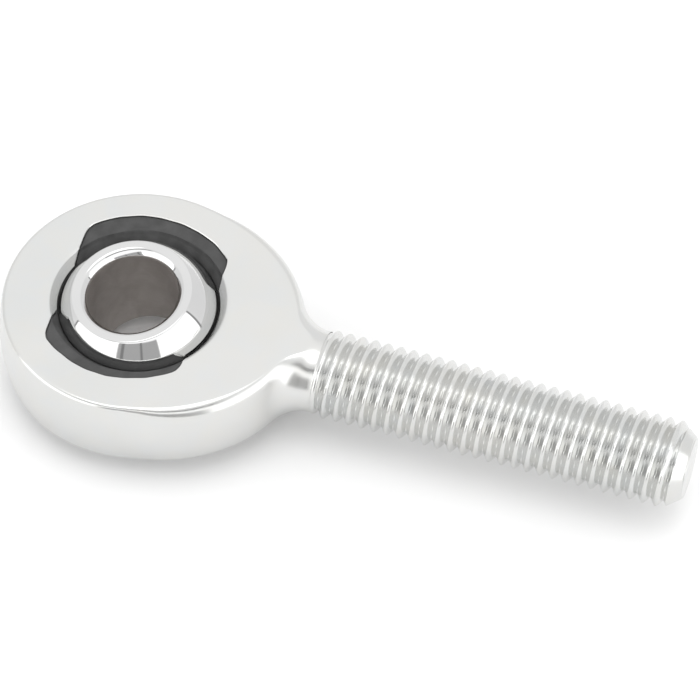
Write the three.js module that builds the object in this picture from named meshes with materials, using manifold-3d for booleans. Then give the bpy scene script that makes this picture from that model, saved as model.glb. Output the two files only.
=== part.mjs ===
// Rod end bearing with a male left-hand M12 thread: a steel eye with a threaded shank, a plastic race moulded into
// the eye, and a pierced steel ball that turns and tilts in the race.
// Millimetres. The origin is the centre of the ball, +X runs along the shank to its tip and +Z along the
// axis of the eye.
import * as THREE from "three";
import { mergeVertices } from "three/addons/utils/BufferGeometryUtils.js";
import Module from "manifold-3d";

// ---- Ball -------------------------------------------------------------------------------------------
const BALL_RADIUS = 11.1125;
const BALL_WIDTH = 16;
const BORE_RADIUS = 6;
const BORE_CHAMFER = 0.55;
const BALL_LEAN_X = 5.2; // degrees that the ball leans about the shank's axis as it lies
const BALL_LEAN_Y = -4.4; // degrees that it leans about the crosswise axis

// ---- Eye of the housing -----------------------------------------------------------------------------
const EYE_HALF_THICKNESS = 5.6;
const EYE_FACE_RADIUS = 17.5;
const EYE_EDGE_ROUND = 0.6;
const EYE_CROWN_RADIUS = 18.6; // at mid thickness, where the crowned rim is widest
const SEAT_RADIUS = 12;
const SEAT_RIM_HEIGHT = 4.6; // the spherical seat ends here and a conical chamfer opens to the face
const MOUTH_RADIUS = 11.85;

// ---- Loading slots: the ball goes in edgewise through them before the race is moulded -----------------
const SLOT_HALF_WIDTH = 9.6;
const SLOT_RADIUS = 13.5;
const SLOT_CENTRE_X = -0.55;
const SLOT_CENTRE_Y = 0.45;

// ---- Moulded race -----------------------------------------------------------------------------------
const FIT_GAP = 0.25;
const RACE_INNER_RADIUS = BALL_RADIUS + FIT_GAP;
const RACE_OUTER_RADIUS = SEAT_RADIUS - FIT_GAP;
const RACE_CORE_RADIUS = 9.7; // the race's blank reaches in to here before the ball's room is cut out
const RACE_UPPER_RIM = 3.2; // between the lobes
const RACE_LOWER_RIM = -3.9;
const LOBE_RECESS = 0.2; // the lobes end this far under the eye's face
const LOBE_LAND_RADIUS = 11.8; // inner edge of the flat land on each lobe; a slope leads down to the ball
const LOBE_SLOPE_FOOT = 3.6; // the slope's height at the core radius
const LOBE_FLOOR = FIT_GAP;

// ---- Neck and shank ---------------------------------------------------------------------------------
const SHOULDER_START_ANGLE = 83; // degrees from +X, where the neck leaves the round of the eye
const SHOULDER_STRAIGHT = 3.7;
const SHOULDER_RADIUS = 19.7;
const NECK_RADIUS = 5.5;
const NECK_FILLET = 5.4;
const THREAD_START = 25.4;
const SHANK_TIP = 75.9;
const TIP_CHAMFER = 2.4;
const TIP_FACE_RADIUS = 4.1;

// ---- Thread -----------------------------------------------------------------------------------------
const THREAD_PITCH = 1.75;
const THREAD_CREST_RADIUS = 5.97;
const THREAD_ROOT_RADIUS = 4.93;
const CREST_SHARE = 0.2; // parts of one pitch
const ROOT_SHARE = 0.16;
const THREAD_RUN_OUT = 1.6;
const TRIM_CLEARANCE = 0.2; // the trim passes this far outside the crests

// ---- Fineness of round shapes -----------------------------------------------------------------------
const EYE_SEGMENTS = 72;
const SEAT_SEGMENTS = 48;
const SEAT_STEPS = 12;
const BALL_STEPS = 16;
const BALL_ROOM_STEPS = 28;
const NECK_SEGMENTS = 40;
const SHANK_SEGMENTS = 20;
const CROWN_STEPS = 4;
const ROUND_STEPS = 3;
const SHOULDER_STEPS = 8;
const SLOT_STEPS = 12;

const OVERLAP = 1; // how far a cutter or a joined solid reaches past the surface it meets

const STEEL = new THREE.MeshStandardMaterial({ color: 0xdcdcda, roughness: 0.38, metalness: 0.9 });
const PLASTIC = new THREE.MeshStandardMaterial({ color: 0x3b3b3b, roughness: 0.7, metalness: 0 });
const POLISHED = new THREE.MeshStandardMaterial({ color: 0xe8e8ea, roughness: 0.08, metalness: 1 });

const wasm = await Module();
wasm.setup();

const radians = THREE.MathUtils.degToRad;

// A closed geometry as a solid that can be joined and cut.
function solid(geometry) {
  const bare = geometry.clone();
  bare.deleteAttribute("normal");
  bare.deleteAttribute("uv");
  const merged = mergeVertices(bare, 1e-4);
  return new wasm.Manifold(
    new wasm.Mesh({
      numProp: 3,
      vertProperties: merged.attributes.position.array,
      triVerts: new Uint32Array(merged.index.array),
    }),
  );
}

// A solid as a geometry again.
function geometryOf(body) {
  const mesh = body.getMesh();
  const geometry = new THREE.BufferGeometry();
  geometry.setAttribute("position", new THREE.BufferAttribute(mesh.vertProperties, mesh.numProp));
  geometry.setIndex(new THREE.BufferAttribute(mesh.triVerts, 1));
  const flat = geometry.toNonIndexed();
  flat.computeVertexNormals();
  return flat;
}

// Points of an arc about a centre, from one angle to another in degrees.
function arc(centreX, centreY, radius, from, to, steps) {
  return Array.from({ length: steps + 1 }, (_, i) => {
    const angle = radians(from + ((to - from) * i) / steps);
    return [centreX + radius * Math.cos(angle), centreY + radius * Math.sin(angle)];
  });
}

// A solid of revolution about Z from [radius, z] points that run upwards on its outer side.
function turnedAboutZ(points, segments) {
  const profile = points.map(([radius, z]) => new THREE.Vector2(radius, z));
  return solid(new THREE.LatheGeometry(profile, segments).rotateX(Math.PI / 2));
}

// A solid of revolution about X from [x, radius] points that run towards +X.
function turnedAboutX(points, segments) {
  const profile = points.map(([x, radius]) => new THREE.Vector2(radius, x));
  return solid(new THREE.LatheGeometry(profile, segments).rotateZ(-Math.PI / 2));
}

// An arc of a sphere about the origin between two heights, as [radius, z] points.
function sphereArc(radius, fromZ, toZ, steps) {
  const from = THREE.MathUtils.radToDeg(Math.asin(fromZ / radius));
  const to = THREE.MathUtils.radToDeg(Math.asin(toZ / radius));
  return arc(0, 0, radius, from, to, steps);
}

// The eye's blank: flat faces, rounded edges and a crowned rim.
function eyeBlank() {
  const edgeZ = EYE_HALF_THICKNESS - EYE_EDGE_ROUND;
  const edgeRadius = EYE_FACE_RADIUS + EYE_EDGE_ROUND;
  const lowerEdge = arc(EYE_FACE_RADIUS, -edgeZ, EYE_EDGE_ROUND, -90, 0, ROUND_STEPS);
  const crown = Array.from({ length: CROWN_STEPS - 1 }, (_, i) => {
    const share = (2 * (i + 1)) / CROWN_STEPS - 1;
    return [edgeRadius + (EYE_CROWN_RADIUS - edgeRadius) * (1 - share * share), share * edgeZ];
  });
  const upperEdge = arc(EYE_FACE_RADIUS, edgeZ, EYE_EDGE_ROUND, 0, 90, ROUND_STEPS);
  return turnedAboutZ(
    [[0, -EYE_HALF_THICKNESS], ...lowerEdge, ...crown, ...upperEdge, [0, EYE_HALF_THICKNESS]],
    EYE_SEGMENTS,
  );
}

// [x, radius] points of the shoulder, from the round of the eye down to the neck.
function shoulderProfile() {
  const angle = radians(SHOULDER_START_ANGLE);
  const start = [EYE_CROWN_RADIUS * Math.cos(angle), EYE_CROWN_RADIUS * Math.sin(angle)];
  const arcStart = [
    start[0] + SHOULDER_STRAIGHT * Math.sin(angle),
    start[1] - SHOULDER_STRAIGHT * Math.cos(angle),
  ];
  const centre = [
    arcStart[0] - SHOULDER_RADIUS * Math.cos(angle),
    arcStart[1] - SHOULDER_RADIUS * Math.sin(angle),
  ];
  // The fillet touches the shoulder's arc from outside and the neck's cylinder.
  const filletY = NECK_RADIUS + NECK_FILLET;
  const reach = SHOULDER_RADIUS + NECK_FILLET;
  const filletX = centre[0] + Math.sqrt(reach * reach - (filletY - centre[1]) ** 2);
  const meet = THREE.MathUtils.radToDeg(Math.atan2(filletY - centre[1], filletX - centre[0]));
  return [
    start,
    ...arc(centre[0], centre[1], SHOULDER_RADIUS, SHOULDER_START_ANGLE, meet, SHOULDER_STEPS),
    ...arc(filletX, filletY, NECK_FILLET, 180 + meet, 270, ROUND_STEPS + 1).slice(1),
  ];
}

// The turned neck, cut flat in line with the eye's two faces.
function neck() {
  const end = THREAD_START + OVERLAP;
  const turned = turnedAboutX(
    [[0, 0], [0, EYE_FACE_RADIUS - OVERLAP], ...shoulderProfile(), [end, NECK_RADIUS], [end, 0]],
    NECK_SEGMENTS,
  );
  const slab = new THREE.BoxGeometry(2 * SHANK_TIP, 2 * SHANK_TIP, 2 * EYE_HALF_THICKNESS);
  return turned.intersect(solid(slab));
}

// A left-hand screw about X with flat crests and roots, closed at both ends. It is drawn right-hand and
// then mirrored.
function screw(fromX, toX) {
  const flank = (1 - CREST_SHARE - ROOT_SHARE) / 2;
  const ridge = [
    [0, THREAD_ROOT_RADIUS],
    [ROOT_SHARE, THREAD_ROOT_RADIUS],
    [ROOT_SHARE + flank, THREAD_CREST_RADIUS],
    [ROOT_SHARE + flank + CREST_SHARE, THREAD_CREST_RADIUS],
  ];
  const perTurn = ridge.length;
  const turns = Math.ceil((toX - fromX) / THREAD_PITCH);
  const rows = turns * perTurn + 1;
  const positions = [];
  for (let row = 0; row < rows; row++) {
    const [share, radius] = ridge[row % perTurn];
    const turn = Math.floor(row / perTurn);
    for (let step = 0; step < SHANK_SEGMENTS; step++) {
      const around = step / SHANK_SEGMENTS;
      const angle = around * 2 * Math.PI;
      const x = fromX + (turn + share + around) * THREAD_PITCH;
      positions.push(x, radius * Math.cos(angle), radius * Math.sin(angle));
    }
  }
  const faces = [];
  const quad = (a, b, c, d) => faces.push(a, b, c, a, c, d);
  const at = (row, step) => row * SHANK_SEGMENTS + step;
  for (let row = 0; row + 1 < rows; row++) {
    for (let step = 0; step + 1 < SHANK_SEGMENTS; step++) {
      quad(at(row, step), at(row, step + 1), at(row + 1, step + 1), at(row + 1, step));
    }
  }
  // The last column meets the first column one turn further on.
  const last = SHANK_SEGMENTS - 1;
  for (let row = 0; row + perTurn + 1 < rows; row++) {
    quad(at(row, last), at(row + perTurn, 0), at(row + perTurn + 1, 0), at(row + 1, last));
  }
  // Each end is closed with a fan about a point on the axis.
  const startCentre = positions.length / 3;
  positions.push(fromX, 0, 0);
  const endCentre = startCentre + 1;
  positions.push(fromX + (turns + 1) * THREAD_PITCH, 0, 0);
  const startLoop = [];
  for (let step = 0; step < SHANK_SEGMENTS; step++) startLoop.push(at(0, step));
  for (let row = perTurn; row > 0; row--) startLoop.push(at(row, 0));
  const endLoop = [];
  for (let row = rows - 1 - perTurn; row < rows - 1; row++) endLoop.push(at(row, last));
  for (let step = last; step >= 0; step--) endLoop.push(at(rows - 1, step));
  startLoop.forEach((a, i) => faces.push(a, startCentre, startLoop[(i + 1) % startLoop.length]));
  endLoop.forEach((a, i) => faces.push(a, endCentre, endLoop[(i + 1) % endLoop.length]));
  const geometry = new THREE.BufferGeometry();
  geometry.setAttribute("position", new THREE.Float32BufferAttribute(positions, 3));
  geometry.setIndex(faces);
  return solid(geometry).mirror([0, 0, 1]);
}

// The threaded shank: a screw trimmed to its run-out at the neck and to its chamfered tip.
function threadedShank() {
  const outside = THREAD_CREST_RADIUS + TRIM_CLEARANCE;
  const trim = turnedAboutX(
    [
      [THREAD_START, 0],
      [THREAD_START, THREAD_ROOT_RADIUS],
      [THREAD_START + THREAD_RUN_OUT, outside],
      [SHANK_TIP - TIP_CHAMFER, outside],
      [SHANK_TIP, TIP_FACE_RADIUS],
      [SHANK_TIP, 0],
    ],
    NECK_SEGMENTS,
  );
  return screw(THREAD_START - 2 * THREAD_PITCH, SHANK_TIP + THREAD_PITCH).intersect(trim);
}

// The spherical seat with a conical mouth to each face.
function seatCutter() {
  const out = EYE_HALF_THICKNESS + OVERLAP;
  return turnedAboutZ(
    [
      [0, -out],
      [MOUTH_RADIUS, -out],
      [MOUTH_RADIUS, -EYE_HALF_THICKNESS],
      ...sphereArc(SEAT_RADIUS, -SEAT_RIM_HEIGHT, SEAT_RIM_HEIGHT, SEAT_STEPS),
      [MOUTH_RADIUS, EYE_HALF_THICKNESS],
      [MOUTH_RADIUS, out],
      [0, out],
    ],
    SEAT_SEGMENTS,
  );
}

// A prism of the loading slots' outline: two parallel sides joined by two arcs about the slots' centre.
function slotPrism(inset, fromZ, toZ) {
  const halfWidth = SLOT_HALF_WIDTH - inset;
  const radius = SLOT_RADIUS - inset;
  const corner = Math.acos(halfWidth / radius);
  const outline = new THREE.Shape();
  outline.absarc(0, 0, radius, corner, Math.PI - corner, false);
  outline.absarc(0, 0, radius, Math.PI + corner, 2 * Math.PI - corner, false);
  outline.closePath();
  const prism = new THREE.ExtrudeGeometry(outline, {
    depth: toZ - fromZ,
    bevelEnabled: false,
    curveSegments: SLOT_STEPS,
  });
  return solid(prism.translate(SLOT_CENTRE_X, SLOT_CENTRE_Y, fromZ));
}

function housing() {
  const blank = eyeBlank().add(neck()).add(threadedShank());
  const slots = slotPrism(0, 0, EYE_HALF_THICKNESS + OVERLAP);
  return blank.subtract(seatCutter()).subtract(slots);
}

// The race: a spherical shell between ball and seat, with a lobe that fills each loading slot.
function race() {
  const shell = turnedAboutZ(
    [
      [RACE_CORE_RADIUS, RACE_LOWER_RIM],
      ...sphereArc(RACE_OUTER_RADIUS, RACE_LOWER_RIM, RACE_UPPER_RIM, SEAT_STEPS),
      [RACE_CORE_RADIUS, RACE_UPPER_RIM],
      [RACE_CORE_RADIUS, RACE_LOWER_RIM],
    ],
    SEAT_SEGMENTS,
  );
  const top = EYE_HALF_THICKNESS - LOBE_RECESS;
  const lobes = turnedAboutZ(
    [
      [RACE_CORE_RADIUS, LOBE_FLOOR],
      [SLOT_RADIUS + OVERLAP, LOBE_FLOOR],
      [SLOT_RADIUS + OVERLAP, top],
      [LOBE_LAND_RADIUS, top],
      [RACE_CORE_RADIUS, LOBE_SLOPE_FOOT],
      [RACE_CORE_RADIUS, LOBE_FLOOR],
    ],
    SEAT_SEGMENTS,
  ).intersect(slotPrism(FIT_GAP, 0, top + OVERLAP));
  const ballRoom = solid(new THREE.SphereGeometry(RACE_INNER_RADIUS, SEAT_SEGMENTS, BALL_ROOM_STEPS));
  return shell.add(lobes).subtract(ballRoom.rotate([90, 0, 0]));
}

// The ball: truncated to two ring faces and pierced by a chamfered bore.
function ball() {
  const half = BALL_WIDTH / 2;
  const mouth = BORE_RADIUS + BORE_CHAMFER;
  return turnedAboutZ(
    [
      [BORE_RADIUS, -half + BORE_CHAMFER],
      [mouth, -half],
      ...sphereArc(BALL_RADIUS, -half, half, BALL_STEPS),
      [mouth, half],
      [BORE_RADIUS, half - BORE_CHAMFER],
      [BORE_RADIUS, -half + BORE_CHAMFER],
    ],
    SEAT_SEGMENTS,
  );
}

function part(name, body, material) {
  const mesh = new THREE.Mesh(geometryOf(body), material);
  mesh.name = name;
  return mesh;
}

const rodEnd = new THREE.Group();
rodEnd.add(part("rod_end_housing", housing(), STEEL));
rodEnd.add(part("moulded_race", race(), PLASTIC));

const leaning = new THREE.Group();
leaning.rotation.set(radians(BALL_LEAN_X), radians(BALL_LEAN_Y), 0);
leaning.add(part("inner_ring_ball", ball(), POLISHED));
rodEnd.add(leaning);

export default rodEnd;
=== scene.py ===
"""Visual model of a rod end bearing: a zinc plated eye with a threaded shank, a black race moulded into the
eye and a polished ball with a bore. Shapes are worked out in millimetres in the part's own frame: the origin
is the centre of the ball, +X runs along the shank and +Z along the axis of the eye."""

import math

import bmesh
import bpy
import numpy as np
from mathutils import Matrix, Vector


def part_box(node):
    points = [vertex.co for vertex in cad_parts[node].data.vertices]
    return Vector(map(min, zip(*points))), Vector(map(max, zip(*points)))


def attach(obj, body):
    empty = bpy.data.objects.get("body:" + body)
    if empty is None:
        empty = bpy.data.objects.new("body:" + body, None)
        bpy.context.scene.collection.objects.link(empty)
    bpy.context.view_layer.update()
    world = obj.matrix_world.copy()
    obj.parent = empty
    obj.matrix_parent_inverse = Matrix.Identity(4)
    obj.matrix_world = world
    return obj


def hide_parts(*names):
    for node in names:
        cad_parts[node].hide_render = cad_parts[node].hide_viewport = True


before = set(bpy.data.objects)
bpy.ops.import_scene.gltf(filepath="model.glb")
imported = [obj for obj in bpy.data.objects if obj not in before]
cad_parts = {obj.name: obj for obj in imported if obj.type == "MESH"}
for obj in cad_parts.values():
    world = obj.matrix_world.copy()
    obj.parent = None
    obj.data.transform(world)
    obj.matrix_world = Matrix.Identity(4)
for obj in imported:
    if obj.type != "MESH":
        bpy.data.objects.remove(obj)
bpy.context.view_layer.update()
MM = 0.001

housing_low, housing_high = (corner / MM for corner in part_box("rod_end_housing"))
floor_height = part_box("inner_ring_ball")[0].z

# ---- Eye ---------------------------------------------------------------------------------------------
EYE_CROWN_RADIUS = -housing_low.x
EYE_HALF_THICKNESS = 5.6
EDGE_ROUND = 0.6
EDGE_STEPS = 8
EDGE_EXTRA_ROUND = 0.8  # added along the shoulder, where the edge is rounder
RIM_CROWN = 0.5  # how much further the rim stands out at mid thickness than at its edges
EYE_EDGE_RADIUS = EYE_CROWN_RADIUS - RIM_CROWN
EDGE_HEIGHT = EYE_HALF_THICKNESS - EDGE_ROUND
MOUTH_RADIUS = 11.75
MOUTH_BEVEL = 0.1
FACE_RINGS = (0, 0.03, 0.3, 0.65, 0.97, 1)  # rings of the flat faces, from the outline in to the mouth
SEAT_RADIUS = 11.7
SEAT_RIM_HEIGHT = 4.4

# ---- Loading slots -----------------------------------------------------------------------------------
SLOT_HALF_WIDTH = 9.58
SLOT_TAPER = 0.03  # the upper slot is a little wider than the lower one
SLOT_RADIUS = 13.5
SLOT_CENTRE = (-0.55, 0.45)
SLOT_CORNER_ROUND = 1.0
SLOT_WANDER = 0.035  # how far the pressed outline wanders from its drawn line
SLOT_WAVES = [(7, 1, 0.6), (17, 0.6, 2.1), (31, 0.5, 0)]  # waves to a turn, size and start of each wave
SLOT_DEPTH_HEIGHT = 0.3

# ---- Shoulder and neck -------------------------------------------------------------------------------
SHOULDER_START = math.radians(83)
SHOULDER_STRAIGHT = 3.66
SHOULDER_RADIUS = 19.67
NECK_FILLET = 5.43
NECK_RADIUS = 5.5
EDGE_WIDENS = (4.0, 16.0)  # the rounded edge grows to its full width between these
EDGE_FADE = (21.0, 24.0)  # and fades out along the neck between these
NECK_BLEND = 0.4
NECK_BLEND_LENGTH = 3.0
NECK_MARGIN = 0.2  # the columns of the neck end this far past its fillet

# ---- Shank -------------------------------------------------------------------------------------------
SHANK_TIP = housing_high.x
CREST_RADIUS = 5.97
ROOT_RADIUS = 4.95
PITCH = 1.75
THREAD_START = 25.2
THREAD_PHASE = 0.25  # a crest crosses the +Y side at this x, or whole pitches from it
THREAD_FADE = 0.8 * PITCH
FLANK_RISE = 1.35  # height gained over a flank, in parts of the thread's depth
ROOT_SINK = 0.1
CREST_BLEND = 0.65
ROOT_BLEND = 0.2
WAVE_SHARE = 0.1  # share of a plain wave mixed into the ridge
TIP_BLEND = 0.12
TIP_CHAMFER = 2.45
TIP_FACE_RADIUS = 4.1
TIP_ROUND = 0.12

# ---- Race --------------------------------------------------------------------------------------------
RACE_GAP = 0.03
RACE_INNER_RADIUS = 11.4
RACE_RIM_HEIGHT = 3.9
RACE_RING_TOP = 3.8
LAND_STEP = 0.3
LAND_STEP_START = 0.1  # the step begins this far inside the land's inner radius
LAND_STEP_END = 0.05  # and ends this far outside it
LAND_DROP = 0.1  # the land sinks this much over its outermost part
LAND_DROP_START = 0.93  # share of the way from the inner rim to the outer edge
SLOPE_POWER = 0.8
LOBE_ENDS = (0.02, 0.2)  # a lobe rises where the slot reaches this far past the seat's rim
LAND_RECESS = 0.2  # the lobes end this far under the eye's face
LAND_HEIGHT = EYE_HALF_THICKNESS - LAND_RECESS
LAND_INNER_RADIUS = 11.7

# ---- Ball --------------------------------------------------------------------------------------------
BALL_RADIUS = 11.36
BALL_HALF_WIDTH = 8.05
BORE_RADIUS = 6.08
BORE_CHAMFER = 0.75
BORE_EDGE_ROUND = 0.35
BORE_MOUTH_ROUND = 0.3
RING_EDGE_ROUND = 0.12
RING_LEAD = 0.2  # length of the sphere that belongs to the ring's rounded edge
BORE_WALL_LIP = 0.02
BALL_LEAN = (math.radians(5.2), math.radians(-4.4))

# ---- Fineness ----------------------------------------------------------------------------------------
SHANK_COLUMNS = 112
ROWS_PER_PITCH = 16
EYE_COLUMNS = 130
NECK_COLUMNS = 70
CONE_ROWS = 6
SEAT_ROWS = 8
SLOT_FLOOR_ROWS = 5
RIM_GUARD = 0.02  # the first row of a cone stands this far off the seat's rim, which keeps the rim sharp
TIP_ROWS = 4
RACE_COLUMNS = 720
RACE_INNER_ROWS = 18
RACE_TOP_ROWS = 24
FIRST_TOP_SHARE = 0.04
BALL_SEGMENTS = 192
SPHERE_ROWS = 72
BORE_ROWS = 9
CAP_RINGS = (1.0, 0.97, 0.7, 0.35, 0.03)
WELD_DISTANCE = 2e-7
FLOOR_SEGMENTS = 128

# ---- View --------------------------------------------------------------------------------------------
CAMERA_AZIMUTH = math.radians(17.21)
CAMERA_ELEVATION = math.radians(53.41)
CAMERA_ROLL = math.radians(0.62)
CAMERA_DISTANCE = 597.0
CAMERA_AIM = (27.93, 4.63, 0.0)
CAMERA_LENS = 231.4
FLOOR_RADIUS = 120.0


# ======================================================================================================
# Shapes
# ======================================================================================================
def smooth_step(value, low, high):
    """0 below low, 1 above high and a smooth rise between them."""
    share = np.clip((value - low) / (high - low), 0, 1)
    return share * share * (3 - 2 * share)


def smooth_max(a, b, blend):
    """The larger of two values, with the crease between them rounded over the distance blend."""
    near = np.maximum(blend - np.abs(a - b), 0)
    return np.maximum(a, b) + near * near / (4 * np.maximum(blend, 1e-6))


def smooth_min(a, b, blend):
    """The smaller of two values, with the crease rounded in the same way."""
    return -smooth_max(-a, -b, blend)


def shoulder():
    """The turned outline from the eye to the neck.

    Returns the starts of its straight and of its arc, the arc's centre, the x at which the arc meets the
    fillet, and the fillet's centre."""
    across = Vector((math.cos(SHOULDER_START), math.sin(SHOULDER_START)))
    along = Vector((math.sin(SHOULDER_START), -math.cos(SHOULDER_START)))
    start = across * EYE_CROWN_RADIUS
    arc_start = start + along * SHOULDER_STRAIGHT
    centre = arc_start - across * SHOULDER_RADIUS
    fillet_y = NECK_RADIUS + NECK_FILLET
    reach = SHOULDER_RADIUS + NECK_FILLET
    fillet_x = centre.x + math.sqrt(reach**2 - (fillet_y - centre.y) ** 2)
    meet_x = centre.x + SHOULDER_RADIUS * (fillet_x - centre.x) / reach
    return start, arc_start, centre, meet_x, Vector((fillet_x, fillet_y))


def neck_radius_at(x):
    """Radius about the X axis of the turned shoulder and neck."""
    start, arc_start, centre, meet_x, fillet = shoulder()
    straight = start.y - (x - start.x) / math.tan(SHOULDER_START)
    arc = centre.y + np.sqrt(np.maximum(SHOULDER_RADIUS**2 - (x - centre.x) ** 2, 0))
    hollow = fillet.y - np.sqrt(np.maximum(NECK_FILLET**2 - (x - fillet.x) ** 2, 0))
    conditions = [x < arc_start.x, x < meet_x, x < fillet.x]
    return np.select(conditions, [straight, arc, hollow], NECK_RADIUS)


NECK_END = shoulder()[-1].x + NECK_MARGIN


def edge_inset(z, width=EDGE_ROUND):
    """How far a rounded edge of some width draws the eye's outline in at height z."""
    above = np.maximum(np.abs(z) - (EYE_HALF_THICKNESS - width), 0)
    return width - np.sqrt(np.maximum(width**2 - above**2, 0))


def rim_radius(z):
    """Radius of the crowned rim of the eye at height z."""
    share = np.minimum(np.abs(z), EDGE_HEIGHT) / EDGE_HEIGHT
    return EYE_CROWN_RADIUS + (EYE_EDGE_RADIUS - EYE_CROWN_RADIUS) * share**2 - edge_inset(z)


def level_heights():
    """Heights of the rows round the eye. Those within the neck meet the columns of the shank."""
    half = SHANK_COLUMNS // 2
    within = [NECK_RADIUS * math.sin(math.pi * (i / half - 0.5)) for i in range(half + 1)]
    first = math.asin((NECK_RADIUS - EDGE_HEIGHT) / EDGE_ROUND)
    angles = [first + (math.pi / 2 - first) * i / EDGE_STEPS for i in range(1, EDGE_STEPS + 1)]
    above = [EDGE_HEIGHT + EDGE_ROUND * math.sin(angle) for angle in angles]
    return [-z for z in reversed(above)] + within + above


def column_angles():
    """Angles about Z, from the far side of the eye to the neck, of the columns of one side."""
    round_part = np.linspace(math.pi, SHOULDER_START, EYE_COLUMNS)
    neck_part = np.linspace(SHOULDER_START, 0, NECK_COLUMNS + 1)[1:]
    return np.concatenate([round_part, neck_part])


def side_outline(z):
    """The outline of one side of the eye and neck at height z, as x and y of each column."""
    radius = float(rim_radius(z))
    angles = np.linspace(math.pi, SHOULDER_START, EYE_COLUMNS)
    fillet = shoulder()[-1]
    neck_end = NECK_END
    if abs(z) > NECK_RADIUS:
        neck_end = fillet.x - math.sqrt(NECK_FILLET**2 - (fillet.y - abs(z)) ** 2)
    neck_start = radius * math.cos(SHOULDER_START)
    x_neck = np.linspace(neck_start, neck_end, NECK_COLUMNS + 1)[1:]
    y_disc = np.sqrt(np.maximum(radius**2 - x_neck**2, 0))
    edge_width = EDGE_ROUND + EDGE_EXTRA_ROUND * smooth_step(x_neck, *EDGE_WIDENS)
    inset = edge_inset(z, edge_width) * (1 - smooth_step(x_neck, *EDGE_FADE))
    y_neck = np.sqrt(np.maximum(neck_radius_at(x_neck) ** 2 - z * z, 0)) - inset
    blend = NECK_BLEND * smooth_step(x_neck, neck_start, neck_start + NECK_BLEND_LENGTH)
    y_neck = np.where(x_neck < radius, smooth_max(y_disc, y_neck, blend), y_neck)
    if abs(z) > NECK_RADIUS - 1e-6:
        y_neck[-1] = 0
    x = np.concatenate([radius * np.cos(angles), x_neck])
    y = np.concatenate([radius * np.sin(angles), np.maximum(y_neck, 0)])
    return x, y


def slot_radius(angle):
    """Distance from the ball's centre to the outline of the loading slots."""
    ray_x, ray_y = np.cos(angle), np.sin(angle)
    side = SLOT_HALF_WIDTH * np.sign(ray_x) + SLOT_CENTRE[0]
    across = ray_x - np.sign(ray_x) * SLOT_TAPER * ray_y
    across = np.where(np.abs(across) < 1e-3, 1e-3, across)
    # A ray along a side never meets it, so the distance is capped.
    to_side = np.minimum(np.abs(side / across), 4 * SLOT_RADIUS)
    along = ray_x * SLOT_CENTRE[0] + ray_y * SLOT_CENTRE[1]
    off = SLOT_CENTRE[0] ** 2 + SLOT_CENTRE[1] ** 2
    to_arc = along + np.sqrt(along**2 + SLOT_RADIUS**2 - off)
    wander = sum(size * np.sin(waves * angle + start) for waves, size, start in SLOT_WAVES)
    return smooth_min(to_side, to_arc, SLOT_CORNER_ROUND) + SLOT_WANDER * wander


def seat_radius_at(z):
    """Radius of the seat, and of the cones that open from its rims to the faces."""
    rim = math.sqrt(SEAT_RADIUS**2 - SEAT_RIM_HEIGHT**2)
    cone_share = (np.abs(z) - SEAT_RIM_HEIGHT) / (EYE_HALF_THICKNESS - SEAT_RIM_HEIGHT)
    cone = rim + (MOUTH_RADIUS - rim) * cone_share
    sphere = np.sqrt(np.maximum(SEAT_RADIUS**2 - z * z, 0))
    return np.where(np.abs(z) > SEAT_RIM_HEIGHT, cone, sphere)


def cavity_radius(angle, z):
    """Radius of the eye's opening, with the loading slots cut down from the upper face."""
    slot_share = smooth_step(z, 0, SLOT_DEPTH_HEIGHT)
    seat = seat_radius_at(z)
    return seat + np.maximum(slot_radius(angle) - seat, 0) * slot_share


def thread_radius(x, angle):
    """Radius of the shank's surface: a left-hand thread that runs out at the neck and ends in a chamfer."""
    turn = (x - THREAD_PHASE + PITCH * angle / (2 * math.pi)) / PITCH
    wave = 0.5 + 0.5 * np.cos(2 * math.pi * turn)
    # Straight flanks, with the crest and the root rounded over their blends.
    from_crest = 2 * np.abs(turn - np.floor(turn + 0.5))
    height = smooth_min((1 - from_crest) * FLANK_RISE - ROOT_SINK, np.ones_like(turn), CREST_BLEND)
    height = smooth_max(height, np.zeros_like(turn), ROOT_BLEND)
    height = height * (1 - WAVE_SHARE) + wave * WAVE_SHARE
    thread = ROOT_RADIUS + (CREST_RADIUS - ROOT_RADIUS) * np.clip(height, 0, 1)
    begun = smooth_step(x, THREAD_START, THREAD_START + THREAD_FADE)
    shaped = NECK_RADIUS + (thread - NECK_RADIUS) * begun
    slope = (CREST_RADIUS - TIP_FACE_RADIUS) / TIP_CHAMFER
    cone = TIP_FACE_RADIUS + (SHANK_TIP - x) * slope
    return smooth_min(shaped, cone, TIP_BLEND)


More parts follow.
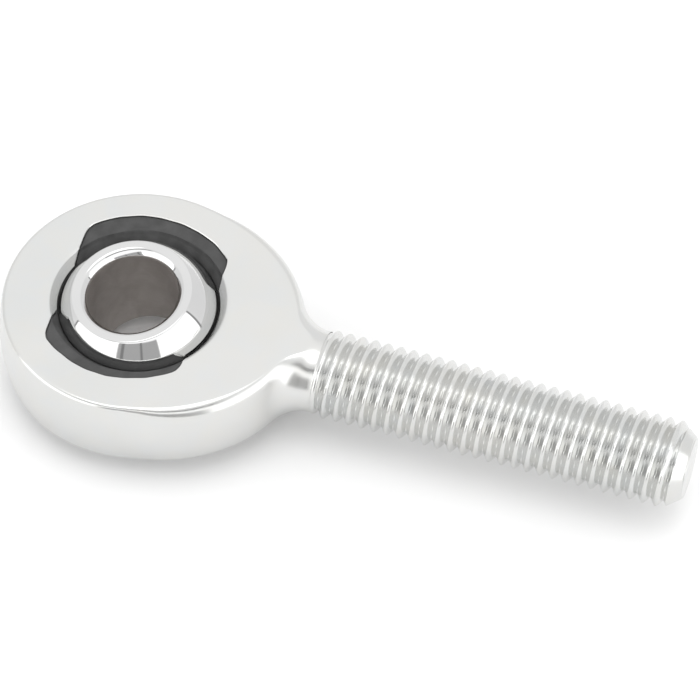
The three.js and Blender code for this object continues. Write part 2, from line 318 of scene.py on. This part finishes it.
class Surface:
    """Quads collected from grids of points and welded into one mesh."""

    def __init__(self):
        self.points = []
        self.faces = []
        self.slots = []
        self.count = 0

    def grid(self, points, wrap=False, slot=0):
        """Quads between the rows and columns of an array of points.

        With wrap, the last column is joined to the first."""
        rows, columns = points.shape[:2]
        index = self.count + np.arange(rows * columns).reshape(rows, columns)
        if wrap:
            index = np.concatenate([index, index[:, :1]], axis=1)
        corners = [index[:-1, :-1], index[:-1, 1:], index[1:, 1:], index[1:, :-1]]
        quads = np.stack(corners, axis=-1).reshape(-1, 4)
        self.points.append(points.reshape(-1, 3))
        self.faces.append(quads)
        self.slots.append(np.full(len(quads), slot))
        self.count += rows * columns

    def fan(self, ring, centre, slot=0):
        """A flat cap: a ring of points closed to its centre through a narrow rim and a few rings."""
        rows = np.stack([centre + (ring - centre) * share for share in CAP_RINGS])
        self.grid(rows, wrap=True, slot=slot)
        middle = self.count
        self.points.append(np.array([centre]))
        self.count += 1
        last = middle - len(ring) + np.arange(len(ring))
        nexts = np.roll(last, -1)
        for a, b in zip(last, nexts):
            self.faces.append(np.array([[a, b, middle, middle]]))
        self.slots.append(np.full(len(ring), slot))

    def mesh(self, name, sharp_degrees):
        """The welded mesh in metres, facing outwards, with edges over sharp_degrees kept sharp."""
        places = np.concatenate(self.points) * MM
        shape = bmesh.new()
        vertices = [shape.verts.new(p) for p in places]
        slots = np.concatenate(self.slots)
        for corners, slot in zip(np.concatenate(self.faces), slots):
            unique = list(dict.fromkeys(corners.tolist()))
            face = shape.faces.new([vertices[i] for i in unique])
            face.material_index = int(slot)
            face.smooth = True
        bmesh.ops.remove_doubles(shape, verts=shape.verts, dist=WELD_DISTANCE)
        bmesh.ops.dissolve_degenerate(shape, edges=shape.edges, dist=WELD_DISTANCE / 20)
        bmesh.ops.recalc_face_normals(shape, faces=shape.faces)
        mesh = bpy.data.meshes.new(name)
        shape.to_mesh(mesh)
        shape.free()
        mesh.set_sharp_from_angle(angle=math.radians(sharp_degrees))
        return mesh


def place_piece(name, mesh, materials, body, node):
    """Puts a piece in the scene under its body's empty and hides the CAD node it stands for."""
    piece = bpy.data.objects.new(name, mesh)
    for material in materials:
        mesh.materials.append(material)
    bpy.context.scene.collection.objects.link(piece)
    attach(piece, body)
    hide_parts(node)
    return piece


def polar(radius, angle, z):
    """Points about the Z axis."""
    radius, angle, z = np.broadcast_arrays(radius, angle, z)
    return np.stack([radius * np.cos(angle), radius * np.sin(angle), z], axis=-1)


def ring_about_x(x, radius, angles):
    """A ring of points about the X axis, with angles from +Y towards +Z."""
    return np.stack([np.full_like(angles, x), radius * np.cos(angles), radius * np.sin(angles)], axis=-1)


def add_eye_sides(surface):
    """The rounded and crowned side of the eye, with the shoulder and neck."""
    for side in (1, -1):
        rows = []
        for z in level_heights():
            x, y = side_outline(z)
            rows.append(np.stack([x, side * y, np.full_like(x, z)], axis=-1))
        surface.grid(np.array(rows))


def add_eye_faces(surface):
    """The two flat faces between the eye's outline and its opening, with a narrow ring at each border."""
    angles = column_angles()
    for z in (EYE_HALF_THICKNESS, -EYE_HALF_THICKNESS):
        x, y = side_outline(z)
        for side in (1, -1):
            inner = polar(cavity_radius(side * angles, z) + MOUTH_BEVEL, side * angles, z)
            outer = np.stack([x, side * y, np.full_like(x, z)], axis=-1)
            surface.grid(np.array([outer + (inner - outer) * share for share in FACE_RINGS]))


def cavity_heights():
    """Heights of the rows down the eye's opening, close together at its rims and the floor of the slots."""
    top = EYE_HALF_THICKNESS - MOUTH_BEVEL
    cone = np.linspace(top, SEAT_RIM_HEIGHT + RIM_GUARD, CONE_ROWS)
    upper = np.linspace(SEAT_RIM_HEIGHT, SLOT_DEPTH_HEIGHT, SEAT_ROWS)
    floor = np.linspace(SLOT_DEPTH_HEIGHT, 0, SLOT_FLOOR_ROWS + 1)[1:]
    lower = np.linspace(0, -SEAT_RIM_HEIGHT, SEAT_ROWS + 1)[1:]
    return np.concatenate([cone, upper, floor, lower, -cone[::-1]])


def add_eye_opening(surface):
    """The mouth's bevel, the cones, the seat and the loading slots."""
    for side in (1, -1):
        angles = side * column_angles()
        top = EYE_HALF_THICKNESS
        rows = [polar(cavity_radius(angles, top) + MOUTH_BEVEL, angles, top)]
        rows += [polar(cavity_radius(angles, z), angles, z) for z in cavity_heights()]
        rows.append(polar(cavity_radius(angles, -top) + MOUTH_BEVEL, angles, -top))
        surface.grid(np.array(rows))


def add_shank(surface):
    """The threaded shank from the neck to its chamfered tip."""
    angles = np.arange(SHANK_COLUMNS) * 2 * math.pi / SHANK_COLUMNS
    body = np.arange(NECK_END, SHANK_TIP - TIP_ROUND, PITCH / ROWS_PER_PITCH)
    rows = []
    for x in body:
        radius = NECK_RADIUS if x <= THREAD_START else thread_radius(x, angles)
        rows.append(ring_about_x(x, radius, angles))
    for turn in np.linspace(0, math.pi / 2, TIP_ROWS):
        x = SHANK_TIP - TIP_ROUND * (1 - math.sin(turn))
        rows.append(ring_about_x(x, TIP_FACE_RADIUS - TIP_ROUND * (1 - math.cos(turn)), angles))
    surface.grid(np.array(rows), wrap=True)
    surface.fan(rows[-1], np.array([SHANK_TIP, 0.0, 0.0]))


def housing_mesh():
    """The eye, neck and threaded shank as one closed surface."""
    surface = Surface()
    add_eye_sides(surface)
    add_eye_faces(surface)
    add_eye_opening(surface)
    add_shank(surface)
    return surface.mesh("rod_end_housing_mesh", sharp_degrees=42)


def race_mesh():
    """The race: a shell between ball and seat whose two lobes fill the loading slots."""
    angles = np.arange(RACE_COLUMNS) * 2 * math.pi / RACE_COLUMNS
    seat_rim = math.sqrt(SEAT_RADIUS**2 - SEAT_RIM_HEIGHT**2)
    lobe = smooth_step(slot_radius(angles) - seat_rim, *LOBE_ENDS)
    outer = np.maximum(slot_radius(angles), seat_rim) - RACE_GAP
    ring_outer = float(seat_radius_at(RACE_RING_TOP)) - RACE_GAP
    outer = ring_outer + (outer - ring_outer) * lobe
    inner_top = RACE_RING_TOP + (RACE_RIM_HEIGHT - RACE_RING_TOP) * lobe
    rows = []
    for share in np.linspace(0, 1, RACE_INNER_ROWS):
        z = -RACE_RIM_HEIGHT + (inner_top + RACE_RIM_HEIGHT) * share
        rows.append(polar(np.sqrt(RACE_INNER_RADIUS**2 - z * z), angles, z))
    inner_rim = np.sqrt(RACE_INNER_RADIUS**2 - inner_top**2)
    for share in np.linspace(FIRST_TOP_SHARE, 1, RACE_TOP_ROWS):
        radius = inner_rim + (outer - inner_rim) * share
        rise = np.clip((radius - inner_rim) / (LAND_INNER_RADIUS - inner_rim), 0, 1)
        step = smooth_step(radius, LAND_INNER_RADIUS - LAND_STEP_START, LAND_INNER_RADIUS + LAND_STEP_END)
        slope = (LAND_HEIGHT - LAND_STEP - RACE_RIM_HEIGHT) * rise**SLOPE_POWER
        top = RACE_RIM_HEIGHT + slope + LAND_STEP * step
        drop = LAND_DROP * smooth_step(share, LAND_DROP_START, 1.0)
        height = RACE_RING_TOP + (top - drop - RACE_RING_TOP) * lobe
        rows.append(polar(radius, angles, height))
    top_edge = rows[-1][:, 2]
    # The rows crowd together at the floor of the slots, where the lobes end.
    for share in np.concatenate([np.linspace(0.02, 0.9, 8), np.linspace(0.92, 1, 5)]):
        z = top_edge * (1 - share)
        rows.append(polar(cavity_radius(angles, z) - RACE_GAP, angles, z))
    for z in np.linspace(0, -RACE_RIM_HEIGHT, 10)[1:]:
        rows.append(polar(float(seat_radius_at(z)) - RACE_GAP, angles, z))
    rows.append(rows[0])
    surface = Surface()
    surface.grid(np.array(rows), wrap=True)
    return surface.mesh("moulded_race_mesh", sharp_degrees=50)


def rounded_profile(corners, rounds, steps=5):
    """A polyline of (radius, z) points, each inner corner replaced by an arc-like curve of its own size."""
    points = [Vector(corners[0])]
    for before, corner, after, size in zip(corners, corners[1:], corners[2:], rounds):
        corner = Vector(corner)
        back = (Vector(before) - corner).normalized() * size
        forth = (Vector(after) - corner).normalized() * size
        for i in range(steps + 1):
            t = i / steps
            points.append(corner + back * (1 - t) ** 2 + forth * t**2)
    points.append(Vector(corners[-1]))
    return points


def ball_mesh():
    """The ball: a sphere cut to two ring faces, pierced by a bore with chamfered mouths."""
    half, mouth = BALL_HALF_WIDTH, BORE_RADIUS + BORE_CHAMFER
    ring_edge = math.sqrt(BALL_RADIUS**2 - half**2)
    upper = rounded_profile(
        [
            (BORE_RADIUS, 0.5 * half),
            (BORE_RADIUS, half - BORE_CHAMFER),
            (mouth, half),
            (ring_edge, half),
            (ring_edge + RING_LEAD, half - RING_LEAD * ring_edge / half),
        ],
        [BORE_EDGE_ROUND, BORE_MOUTH_ROUND, RING_EDGE_ROUND],
    )
    start = math.atan2(upper[-1].y, upper[-1].x)
    sphere = [
        Vector((BALL_RADIUS * math.cos(a), BALL_RADIUS * math.sin(a)))
        for a in np.linspace(start, -start, SPHERE_ROWS)[1:-1]
    ]
    lower = [Vector((p.x, -p.y)) for p in reversed(upper)]
    bore = [Vector((BORE_RADIUS, z)) for z in np.linspace(-0.5 * half, 0.5 * half, BORE_ROWS)[1:-1]]
    profile = upper + sphere + lower + bore
    angles = np.arange(BALL_SEGMENTS) * 2 * math.pi / BALL_SEGMENTS
    wall = half - BORE_CHAMFER - BORE_WALL_LIP
    surface = Surface()
    for a, b in zip(profile, profile[1:] + profile[:1]):
        in_bore = max(a.x, b.x) < mouth and (a.y + b.y) / 2 < wall
        rows = np.array([polar(a.x, angles, a.y), polar(b.x, angles, b.y)])
        surface.grid(rows, wrap=True, slot=1 if in_bore else 0)
    mesh = surface.mesh("inner_ring_ball_mesh", sharp_degrees=60)
    mesh.transform(Matrix.Rotation(BALL_LEAN[0], 4, "X") @ Matrix.Rotation(BALL_LEAN[1], 4, "Y"))
    return mesh


# ======================================================================================================
# Materials
# ======================================================================================================
def new_material(name):
    """A material with its node tree and its one shader."""
    material = bpy.data.materials.new(name)
    material.use_nodes = True
    tree = material.node_tree
    tree.nodes.clear()
    output = tree.nodes.new("ShaderNodeOutputMaterial")
    shader = tree.nodes.new("ShaderNodeBsdfPrincipled")
    tree.links.new(shader.outputs["BSDF"], output.inputs["Surface"])
    return material, tree, shader


def noise(tree, scale, detail=3.0, stretch=(1, 1, 1), distortion=0.0):
    """A noise over the piece's own coordinates. scale is in features per metre."""
    place = tree.nodes.new("ShaderNodeTexCoord")
    mapping = tree.nodes.new("ShaderNodeMapping")
    mapping.inputs["Scale"].default_value = stretch
    texture = tree.nodes.new("ShaderNodeTexNoise")
    texture.inputs["Scale"].default_value = scale
    texture.inputs["Detail"].default_value = detail
    texture.inputs["Distortion"].default_value = distortion
    tree.links.new(place.outputs["Object"], mapping.inputs["Vector"])
    tree.links.new(mapping.outputs["Vector"], texture.inputs["Vector"])
    return texture.outputs["Fac"]


def ramp(tree, factor, stops):
    """A colour ramp through (position, colour) stops."""
    node = tree.nodes.new("ShaderNodeValToRGB")
    elements = node.color_ramp.elements
    while len(elements) < len(stops):
        elements.new(0.5)
    for element, (position, colour) in zip(elements, stops):
        element.position = position
        element.color = (*colour, 1)
    tree.links.new(factor, node.inputs["Fac"])
    return node.outputs["Color"]


def span(tree, factor, low, high, from_low=0.3, from_high=0.7):
    """Spreads a factor's middle over the range from low to high."""
    node = tree.nodes.new("ShaderNodeMapRange")
    node.inputs["From Min"].default_value = from_low
    node.inputs["From Max"].default_value = from_high
    node.inputs["To Min"].default_value = low
    node.inputs["To Max"].default_value = high
    tree.links.new(factor, node.inputs["Value"])
    return node.outputs["Result"]


def mix(tree, factor, colour_a, colour_b):
    """Blends two colour outputs by a factor output."""
    node = tree.nodes.new("ShaderNodeMix")
    node.data_type = "RGBA"
    tree.links.new(factor, node.inputs["Factor"])
    tree.links.new(colour_a, node.inputs["A"])
    tree.links.new(colour_b, node.inputs["B"])
    return node.outputs["Result"]


def bump(tree, height, distance, strength=1.0, over=None):
    """A bump whose relief is distance metres deep, on top of another bump if one is given."""
    node = tree.nodes.new("ShaderNodeBump")
    node.inputs["Strength"].default_value = strength
    node.inputs["Distance"].default_value = distance
    tree.links.new(height, node.inputs["Height"])
    if over is not None:
        tree.links.new(over, node.inputs["Normal"])
    return node.outputs["Normal"]


def zinc_plate():
    """Satin zinc plating with a faint yellow and blue passivation mottle and light handling scuffs."""
    material, tree, shader = new_material("zinc_plate")
    mottle = noise(tree, 260, detail=4, distortion=0.6)
    clouds = noise(tree, 70, detail=2)
    scuffs = noise(tree, 420, detail=6, stretch=(1, 7, 1))
    grain = noise(tree, 9000, detail=2)
    cool = ramp(tree, clouds, [(0.35, (0.665, 0.675, 0.675)), (0.65, (0.69, 0.695, 0.69))])
    warm = ramp(tree, clouds, [(0.35, (0.675, 0.675, 0.655)), (0.65, (0.70, 0.695, 0.675))])
    shader.inputs["Metallic"].default_value = 1.0
    tree.links.new(mix(tree, span(tree, mottle, 0, 1), cool, warm), shader.inputs["Base Color"])
    tree.links.new(span(tree, scuffs, 0.2, 0.25), shader.inputs["Roughness"])
    waves = bump(tree, mottle, 0.00002, strength=0.035)
    tree.links.new(bump(tree, grain, 0.000004, strength=0.08, over=waves), shader.inputs["Normal"])
    return material


def race_plastic():
    """Black moulded plastic with a dull grainy skin."""
    material, tree, shader = new_material("race_plastic")
    patches = noise(tree, 500, detail=4)
    grain = noise(tree, 7000, detail=3)
    colour = ramp(tree, patches, [(0.3, (0.036, 0.036, 0.036)), (0.7, (0.07, 0.07, 0.07))])
    tree.links.new(colour, shader.inputs["Base Color"])
    tree.links.new(span(tree, patches, 0.5, 0.68), shader.inputs["Roughness"])
    lumps = bump(tree, patches, 0.00008, strength=0.5)
    tree.links.new(bump(tree, grain, 0.00002, strength=0.5, over=lumps), shader.inputs["Normal"])
    return material


def polished_steel():
    """Ground and polished bearing steel, with the faintest turning marks."""
    material, tree, shader = new_material("polished_steel")
    haze = noise(tree, 180, detail=3)
    marks = noise(tree, 900, detail=2, stretch=(1, 1, 9))
    colour = ramp(tree, haze, [(0.3, (0.655, 0.655, 0.657)), (0.7, (0.685, 0.685, 0.68))])
    shader.inputs["Metallic"].default_value = 1.0
    tree.links.new(colour, shader.inputs["Base Color"])
    tree.links.new(span(tree, haze, 0.035, 0.06), shader.inputs["Roughness"])
    tree.links.new(bump(tree, marks, 0.000002, strength=0.3), shader.inputs["Normal"])
    return material


def bore_steel_painted_shade():
    """The unpolished wall of the bore, its colour darkened and browned as painted shade of the bore's dim
    inside.
    """
    material, tree, shader = new_material("bore_steel_painted_shade")
    stain = noise(tree, 300, detail=5, distortion=0.8)
    honing = noise(tree, 1500, detail=3, stretch=(1, 1, 5))
    # Painted shade: the base colour is kept dark and brownish so the inside of the bore looks dim.
    colour = ramp(tree, stain, [(0.3, (0.45, 0.42, 0.40)), (0.7, (0.55, 0.52, 0.50))])
    shader.inputs["Metallic"].default_value = 0.9
    tree.links.new(colour, shader.inputs["Base Color"])
    tree.links.new(span(tree, honing, 0.4, 0.55), shader.inputs["Roughness"])
    tree.links.new(bump(tree, honing, 0.000006, strength=0.4), shader.inputs["Normal"])
    return material


def floor_paper():
    """Matt white paper."""
    material, tree, shader = new_material("floor_paper")
    fibre = noise(tree, 60, detail=4)
    colour = ramp(tree, fibre, [(0.3, (0.95, 0.95, 0.95)), (0.7, (0.965, 0.965, 0.965))])
    tree.links.new(colour, shader.inputs["Base Color"])
    shader.inputs["Roughness"].default_value = 0.9
    shader.inputs["Specular IOR Level"].default_value = 0.1
    return material


# ======================================================================================================
# Light, floor and camera
# ======================================================================================================
DOME_HORIZON = 1.05
DOME_ZENITH = 1.2
SOFTBOX = 1.85
UPPER_BOX = 1.5
FRONT_TOP = 0.98
FRONT_SHADE = 0.55
FRAME_LINE = 0.3
TOP_LINE = 0.15
SIDE_GLOW = 1.0
CEILING_BOX = 2.4
# Areas of the dome as azimuth, from -Y towards +X, and elevation, both in degrees.
SOFTBOXES = [((-73, -10), (-14, 29)), ((46, 107), (-14, 29))]
UPPER_BOX_AREA = ((-78, 104), (28, 45))
FRONT_DOME = ((-80, 104), (50, 68))
CEILING = (72, 93)  # elevations only
GAP = ((-10, 46), (-20, 28))
TOP_FRAME = ((-40, 60), (45, 55))
SIDES = [((112, 190), (-20, 40)), ((-190, -80), (-20, 40))]
FRAME_LINES = [(-74.5, 1), (-3, 2), (22, 1.5), (108.5, 1.2)]  # azimuth and half width of each


def math_node(tree, operation, a, b=None):
    """The result of a maths node on numbers or other nodes' outputs."""
    node = tree.nodes.new("ShaderNodeMath")
    node.operation = operation
    for socket, value in zip(node.inputs, (a, b)):
        if value is None:
            continue
        if isinstance(value, (int, float)):
            socket.default_value = value
        else:
            tree.links.new(value, socket)
    return node.outputs["Value"]


def between(tree, value, low, high, soft):
    """1 where value lies between low and high, with soft borders, and 0 elsewhere."""
    rise = tree.nodes.new("ShaderNodeMapRange")
    rise.interpolation_type = "SMOOTHSTEP"
    rise.inputs["From Min"].default_value = low - soft
    rise.inputs["From Max"].default_value = low + soft
    fall = tree.nodes.new("ShaderNodeMapRange")
    fall.interpolation_type = "SMOOTHSTEP"
    fall.inputs["From Min"].default_value = high + soft
    fall.inputs["From Max"].default_value = high - soft
    tree.links.new(value, rise.inputs["Value"])
    tree.links.new(value, fall.inputs["Value"])
    return math_node(tree, "MULTIPLY", rise.outputs["Result"], fall.outputs["Result"])


def patch(tree, azimuth, elevation, area, soft=1.5):
    """1 within an area of the dome and 0 elsewhere, with borders that are soft degrees wide."""
    across = between(tree, azimuth, *area[0], soft)
    upwards = between(tree, elevation, *area[1], soft)
    return math_node(tree, "MULTIPLY", across, upwards)


def lay(tree, under, level, share):
    """A level laid over another where share is 1."""
    kept = math_node(tree, "MULTIPLY", under, math_node(tree, "SUBTRACT", 1.0, share))
    return math_node(tree, "ADD", kept, math_node(tree, "MULTIPLY", share, level))


def studio_light():
    """A pale dome with bright boxes in front of and above the part, a grey gap and thin frame lines."""
    world = bpy.data.worlds.new("studio")
    bpy.context.scene.world = world
    world.use_nodes = True
    tree = world.node_tree
    tree.nodes.clear()
    direction = tree.nodes.new("ShaderNodeTexCoord").outputs["Generated"]
    split = tree.nodes.new("ShaderNodeSeparateXYZ")
    tree.links.new(direction, split.inputs["Vector"])
    x, y, z = (split.outputs[axis] for axis in "XYZ")
    turn = math_node(tree, "ARCTAN2", x, math_node(tree, "MULTIPLY", y, -1.0))
    azimuth = math_node(tree, "DEGREES", turn)
    elevation = math_node(tree, "DEGREES", math_node(tree, "ARCSINE", z))
    level = span(tree, elevation, DOME_HORIZON, DOME_ZENITH, from_low=0, from_high=90)
    for area in SIDES:
        level = lay(tree, level, SIDE_GLOW, patch(tree, azimuth, elevation, area, soft=6))
    level = lay(tree, level, FRONT_TOP, patch(tree, azimuth, elevation, FRONT_DOME, soft=6))
    level = lay(tree, level, CEILING_BOX, between(tree, elevation, *CEILING, 3))
    level = lay(tree, level, UPPER_BOX, patch(tree, azimuth, elevation, UPPER_BOX_AREA))
    level = lay(tree, level, FRONT_SHADE, patch(tree, azimuth, elevation, GAP))
    level = lay(tree, level, TOP_LINE, patch(tree, azimuth, elevation, TOP_FRAME))
    for area in SOFTBOXES:
        level = lay(tree, level, SOFTBOX, patch(tree, azimuth, elevation, area))
    for middle, half in FRAME_LINES:
        area = ((middle - half, middle + half), GAP[1])
        level = lay(tree, level, FRAME_LINE, patch(tree, azimuth, elevation, area, soft=1))
    background = tree.nodes.new("ShaderNodeBackground")
    background.inputs["Color"].default_value = (1, 1, 1, 1)
    output = tree.nodes.new("ShaderNodeOutputWorld")
    tree.links.new(level, background.inputs["Strength"])
    tree.links.new(background.outputs["Background"], output.inputs["Surface"])


def studio_floor():
    """A round sheet of paper under the part."""
    shape = bmesh.new()
    bmesh.ops.create_circle(shape, cap_ends=True, segments=FLOOR_SEGMENTS, radius=FLOOR_RADIUS * MM)
    mesh = bpy.data.meshes.new("floor_mesh")
    shape.to_mesh(mesh)
    shape.free()
    mesh.materials.append(floor_paper())
    floor = bpy.data.objects.new("floor", mesh)
    middle = (housing_low.x + housing_high.x) / 2
    floor.location = (middle * MM, 0, floor_height)
    bpy.context.scene.collection.objects.link(floor)


def studio_camera():
    """The camera, turned about its own line of sight by a small roll."""
    data = bpy.data.cameras.new("camera")
    data.lens = CAMERA_LENS
    data.sensor_width = 36
    data.clip_start, data.clip_end = 0.01, 10
    camera = bpy.data.objects.new("camera", data)
    right = Vector((math.cos(CAMERA_AZIMUTH), math.sin(CAMERA_AZIMUTH), 0))
    level_back = Vector((right.y, -right.x, 0))
    back = level_back * math.cos(CAMERA_ELEVATION) + Vector((0, 0, math.sin(CAMERA_ELEVATION)))
    up = back.cross(right)
    turned_right = right * math.cos(CAMERA_ROLL) + up * math.sin(CAMERA_ROLL)
    turned_up = back.cross(turned_right)
    place = (Vector(CAMERA_AIM) + back * CAMERA_DISTANCE) * MM
    axes = Matrix((turned_right, turned_up, back)).transposed().to_4x4()
    camera.matrix_world = Matrix.Translation(place) @ axes
    bpy.context.scene.collection.objects.link(camera)
    bpy.context.scene.camera = camera


# ======================================================================================================
# The scene
# ======================================================================================================
place_piece(
    "rod_end_housing_shape",
    housing_mesh(),
    [zinc_plate()],
    "housing",
    "rod_end_housing",
)
place_piece(
    "moulded_race_shape",
    race_mesh(),
    [race_plastic()],
    "housing",
    "moulded_race",
)
place_piece(
    "inner_ring_ball_shape",
    ball_mesh(),
    [polished_steel(), bore_steel_painted_shade()],
    "ball",
    "inner_ring_ball",
)
studio_floor()
studio_light()
studio_camera()
bpy.context.scene.view_settings.view_transform = "Standard"
